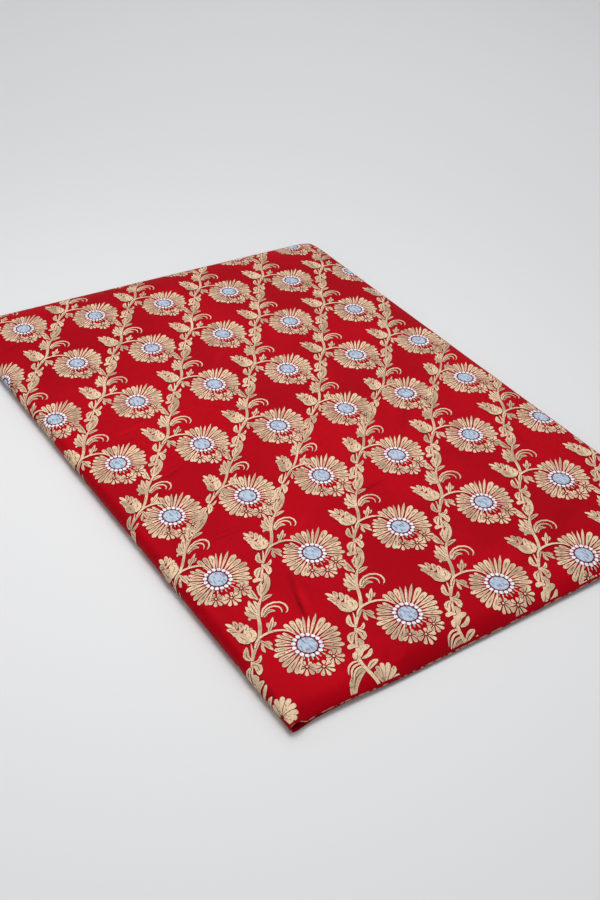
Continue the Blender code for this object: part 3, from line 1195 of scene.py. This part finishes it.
# Each row: the line's middle, half its length and width, its turn in degrees and its depth.
PRESSED_LINES = (
    ((-0.1215, -0.1718), (0.0175, 0.0017), 74, 1.00),
    ((-0.1150, -0.1530), (0.0150, 0.0032), 67, 0.45),
    ((-0.1286, -0.0917), (0.0190, 0.0012), 2, 0.40),
    ((-0.1250, -0.0872), (0.0130, 0.0010), 4, 0.30),
    ((-0.1272, -0.0962), (0.0090, 0.0010), 3, 0.25),
    ((-0.1239, -0.0148), (0.0140, 0.0014), 20, 0.60),
    ((-0.1355, 0.0335), (0.0150, 0.0012), 8, 0.45),
    ((-0.1311, 0.0417), (0.0100, 0.0010), 6, 0.35),
    ((-0.1172, 0.0517), (0.0150, 0.0022), 12, 0.35),
    ((-0.0029, -0.0950), (0.0150, 0.0015), 8, 0.60),
    ((-0.1579, 0.1901), (0.0130, 0.0015), 18, 0.35),
    ((-0.0725, -0.0507), (0.0220, 0.0045), -39, 0.22),
)


def pressed_lines(tree, cloth):
    """The thin pressed lines as one value, from 0 on smooth satin to 1 in the deepest line, for bump and
    painted shade.
    """
    total = 0.0
    for middle, reach, turn, depth in PRESSED_LINES:
        at_line = add_node(tree, "Mapping", Vector=cloth, Location=(*middle, 0.0), Scale=(*reach, 1.0))
        at_line.inputs["Rotation"].default_value = (0.0, 0.0, math.radians(turn))
        at_line.vector_type = "TEXTURE"
        streak = add_node(tree, "TexGradient", Vector=at_line.outputs[0])
        streak.gradient_type = "SPHERICAL"
        total = maths(tree, "MULTIPLY_ADD", streak.outputs["Fac"], depth, total)
    return total


def selvedge_line(tree, cloth):
    """A mask of the thin line of weft along both selvedges of the top, broken into dashes."""
    split = add_node(tree, "SeparateXYZ", Vector=cloth)
    off_middle = maths(tree, "ABSOLUTE", split.outputs["Y"])
    line = maths(tree, "GREATER_THAN", off_middle, HALF_LENGTH - SELVEDGE_LINE)
    on_top = maths(tree, "GREATER_THAN", split.outputs["X"], TOP_CLOTH)
    bits = add_node(tree, "TexNoise", Vector=cloth, **DASHES)
    dashes = ramp(tree, bits.outputs["Fac"], SATIN_LIMITS["dashes"])
    return maths(tree, "MULTIPLY", maths(tree, "MULTIPLY", line, on_top), dashes)


def make_satin():
    """The red ground of both sides of the cloth."""
    material, tree, shader, cloth, weave, tone = new_material("red satin", roughness=0.52, gloss=0.02)
    shader.inputs["Metallic"].default_value = SATIN_METALLIC
    ground = mixed(tree, ramp(tree, tone.outputs["Broad"], SATIN_LIMITS["broad"]), DEEP_RED, RED)
    grain = maths(tree, "MULTIPLY", ramp(tree, tone.outputs["Fine"], SATIN_LIMITS["grain"]), GRAIN_SHARE)
    ground = mixed(tree, grain, ground, DEEP_RED)
    # The crease mark paints a highlight on the ridges and shade in the troughs.
    crease = attribute(tree, "crease")
    painted_ridge_highlight = maths(tree, "MULTIPLY", ramp(tree, crease, SATIN_LIMITS["painted_ridge_highlight"]), RIDGE_HIGHLIGHT_SHARE)
    ground = mixed(tree, painted_ridge_highlight, ground, PAINTED_RIDGE_HIGHLIGHT)
    painted_hollow_shade = ramp(tree, maths(tree, "MULTIPLY", crease, -1.0), SATIN_LIMITS["painted_hollow_shade"])
    ground = mixed(tree, painted_hollow_shade, ground, PAINTED_CREASE_SHADE)
    line_depth_and_shade = pressed_lines(tree, cloth)
    # The pressed lines darken the red as painted shade.
    ground = mixed(tree, line_depth_and_shade, ground, PAINTED_CREASE_SHADE)
    ground = mixed(tree, selvedge_line(tree, cloth), ground, SELVEDGE_GOLD)
    tree.links.new(ground, shader.inputs["Base Color"])
    handled = ramp(tree, tone.outputs["Crumple"], SATIN_LIMITS["handled"])
    relief = maths(tree, "MULTIPLY_ADD", weave.outputs["Height"], THREAD_RELIEF, handled)
    relief = maths(tree, "MULTIPLY_ADD", line_depth_and_shade, -LINE_RELIEF, relief)
    add_bump(tree, shader, relief, CRUMPLE_DEPTH, 1.0)
    return material


# %% [markdown]
# The gold is a flat metallic thread, dulled by the silk that binds it, so it is matt with fine lines
# across it. The rim of each shape is lighter and a little pink.

# %% Gold weft, its outline, the blue and the white
GOLD = (0.920, 0.668, 0.415, 1.0)
GOLD_RIM = (0.960, 0.630, 0.470, 1.0)
GOLD_SHADE = (0.320, 0.200, 0.112, 1.0)
GOLD_SPECK = (0.150, 0.050, 0.030, 1.0)
# The outline's colours are those of its dark thread and, where it is shifted out from the gold, of a
# painted shadow.
OUTLINE_AND_SHADOW_BROWN = (0.135, 0.009, 0.009, 1.0)
OUTLINE_AND_SHADOW_DARK = (0.055, 0.006, 0.006, 1.0)
BLUE = (0.470, 0.560, 0.660, 1.0)
BLUE_SHADE = (0.200, 0.235, 0.350, 1.0)
WHITE = (0.920, 0.870, 0.920, 1.0)
WHITE_SHADE = (0.640, 0.540, 0.640, 1.0)
GOLD_SCALES = {"Broad Scale": 55.0, "Fine Scale": 1300.0}
GOLD_LIMITS = {
    "threads": (0.05, 0.55),
    "patches_and_sheen": (0.50, 0.86),
    "shade": (0.52, 0.72),
    "speck": (0.63, 0.70),
    "rim": (0.10, 0.80),
}
PAINTED_SHEEN_SHARE = 0.22
PATCH_SHARE = 0.80
STROKE_LIMITS = (0.45, 0.66)
THREAD_DEPTH = 0.00008
THREAD_STRENGTH = 0.4


def make_gold():
    """The gold weft of petals, leaves and stems."""
    material, tree, shader, _, weave, tone = new_material("gold weft", roughness=0.60, gloss=0.30)
    for label, scale in GOLD_SCALES.items():
        tone.inputs[label].default_value = scale
    fine = tone.outputs["Fine"]
    colour = mixed(tree, ramp(tree, weave.outputs["Weft"], GOLD_LIMITS["threads"]), GOLD_SHADE, GOLD)
    # Each blade's own shade darkens it as a painted sheen, mixed with the broad patches of tone.
    own_painted_sheen = maths(tree, "MULTIPLY", attribute(tree, "shade"), PAINTED_SHEEN_SHARE)
    patches_and_sheen = ramp(tree, maths(tree, "ADD", tone.outputs["Broad"], own_painted_sheen), GOLD_LIMITS["patches_and_sheen"])
    colour = mixed(tree, maths(tree, "MULTIPLY", patches_and_sheen, PATCH_SHARE), colour, GOLD_SHADE)
    colour = mixed(tree, ramp(tree, fine, GOLD_LIMITS["shade"]), colour, GOLD_SHADE)
    colour = mixed(tree, ramp(tree, fine, GOLD_LIMITS["speck"]), colour, GOLD_SPECK)
    colour = mixed(tree, ramp(tree, attribute(tree, "rim"), GOLD_LIMITS["rim"]), colour, GOLD_RIM)
    tree.links.new(colour, shader.inputs["Base Color"])
    add_bump(tree, shader, weave.outputs["Height"], THREAD_DEPTH, THREAD_STRENGTH)
    return material


def make_thread(name, light, shade, roughness, grain):
    """A plain coloured weft with shaded threads."""
    material, tree, shader, _, weave, tone = new_material(name, roughness, gloss=0.20)
    tone.inputs["Fine Scale"].default_value = grain
    strokes = ramp(tree, tone.outputs["Fine"], STROKE_LIMITS)
    tree.links.new(mixed(tree, strokes, light, shade), shader.inputs["Base Color"])
    add_bump(tree, shader, weave.outputs["Height"], THREAD_DEPTH, THREAD_STRENGTH)
    return material


SATIN = make_satin()
GOLD_WEFT = make_gold()
OUTLINE_AND_SHADOW_WEFT = make_thread("outline weft and painted shadow", OUTLINE_AND_SHADOW_BROWN, OUTLINE_AND_SHADOW_DARK, 0.7, 900.0)
BLUE_WEFT = make_thread("blue weft", BLUE, BLUE_SHADE, 0.6, 700.0)
WHITE_WEFT = make_thread("white weft", WHITE, WHITE_SHADE, 0.6, 900.0)
FINISH = {
    "flower_gold": (GOLD_WEFT, "gold_brocade"),
    "flower_outline": (OUTLINE_AND_SHADOW_WEFT, "silk_brocade"),
    "vine_gold": (GOLD_WEFT, "gold_brocade"),
    "vine_outline": (OUTLINE_AND_SHADOW_WEFT, "silk_brocade"),
    "flower_heart": (BLUE_WEFT, "blue_brocade"),
    "flower_dots": (WHITE_WEFT, "white_brocade"),
}
silk_sheet.data.materials.append(SATIN)
for (side, part), piece in PATTERN.items():
    piece.data.materials.append(FINISH[part][0])
print("materials:", len(bpy.data.materials))

# %% [markdown]
# ## The stage
#
# The photo shows a pale floor without an edge. One swept sheet makes the floor and a wall, which
# stands far off so that it hides no side of the cloth. Three soft lamps give the photo's light: one
# wide, one close above the cloth, whose light falls off towards the corners, and one behind, which
# leaves the near edges in shade. The world adds an even grey light.

# %% Floor, wall and lamps
STAGE_HALF_WIDTH = 5.0
STAGE_FRONT = -3.0
STAGE_BACK = 2.4
STAGE_CURVE = 0.9
STAGE_STEPS = 16
STAGE_HEIGHT = 3.0
STAGE_GREY = (0.725, 0.722, 0.714, 1.0)
STAGE_ROUGHNESS = 0.7
STAGE_TURN = CAMERA_HEADING - math.pi / 2


def make_stage():
    """A floor that curves up into a wall behind the cloth, square to the camera."""
    sweep = bmesh.new()
    start = sweep.verts.new((-STAGE_HALF_WIDTH, STAGE_FRONT, 0.0))
    end = sweep.verts.new((STAGE_HALF_WIDTH, STAGE_FRONT, 0.0))
    edge = sweep.edges.new((start, end))
    path = [(STAGE_BACK, 0.0)]
    for step in range(1, STAGE_STEPS + 1):
        turn = math.pi / 2 * step / STAGE_STEPS
        path.append((STAGE_BACK + STAGE_CURVE * math.sin(turn), STAGE_CURVE * (1 - math.cos(turn))))
    path.append((STAGE_BACK + STAGE_CURVE, STAGE_HEIGHT))
    last = Vector((0.0, STAGE_FRONT, 0.0))
    for y, z in path:
        made = bmesh.ops.extrude_edge_only(sweep, edges=[edge])["geom"]
        verts = [item for item in made if isinstance(item, bmesh.types.BMVert)]
        edge = next(item for item in made if isinstance(item, bmesh.types.BMEdge))
        here = Vector((0.0, y, z))
        bmesh.ops.translate(sweep, verts=verts, vec=here - last)
        last = here
    bmesh.ops.rotate(sweep, verts=sweep.verts, cent=(0, 0, 0), matrix=Matrix.Rotation(STAGE_TURN, 3, "Z"))
    stage = add_object("pale_stage", sweep)
    stage.data.shade_smooth()
    material = bpy.data.materials.new("pale paper")
    material.use_nodes = True
    shader = material.node_tree.nodes["Principled BSDF"]
    shader.inputs["Base Color"].default_value = STAGE_GREY
    shader.inputs["Roughness"].default_value = STAGE_ROUGHNESS
    stage.data.materials.append(material)
    return stage


LAMPS = (
    {"place": (0.05, 0.15, 1.60), "target": (-0.10, 0.0, 0.0), "size": 1.0, "power": 6.0, "spread": 140},
    {"place": (-0.10, 0.05, 0.90), "target": (-0.17, -0.02, 0.0), "size": 0.4, "power": 0.39, "spread": 75},
    {"place": (0.95, 1.15, 1.70), "target": (0.60, 0.80, 0.0), "size": 1.2, "power": 5.2, "spread": 130},
)
LAMP_NAMES = ("overhead", "above_the_cloth", "behind")
WORLD_LIGHT = (0.93, 0.95, 1.0, 1.0)
WORLD_STRENGTH = 0.520


def add_lamp(name, place, target, size, power, spread):
    """A square area lamp that faces a target. A smaller spread, in degrees, keeps its light together."""
    data = bpy.data.lights.new(name, "AREA")
    data.shape = "SQUARE"
    data.size = size
    data.energy = power
    data.spread = math.radians(spread)
    lamp = bpy.data.objects.new(name, data)
    lamp.location = place
    lamp.rotation_euler = (Vector(target) - Vector(place)).to_track_quat("-Z", "Y").to_euler()
    bpy.context.scene.collection.objects.link(lamp)
    return lamp


make_stage()
for lamp_name, lamp in zip(LAMP_NAMES, LAMPS):
    add_lamp(lamp_name, **lamp)
world = bpy.data.worlds.new("studio")
world.use_nodes = True
background = world.node_tree.nodes["Background"]
background.inputs["Color"].default_value = WORLD_LIGHT
background.inputs["Strength"].default_value = WORLD_STRENGTH
bpy.context.scene.world = world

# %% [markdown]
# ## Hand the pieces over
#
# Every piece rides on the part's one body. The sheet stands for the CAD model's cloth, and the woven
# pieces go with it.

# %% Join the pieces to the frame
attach(silk_sheet, "root")
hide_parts("silk_cloth")
for (side, part), piece in PATTERN.items():
    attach(piece, "root")
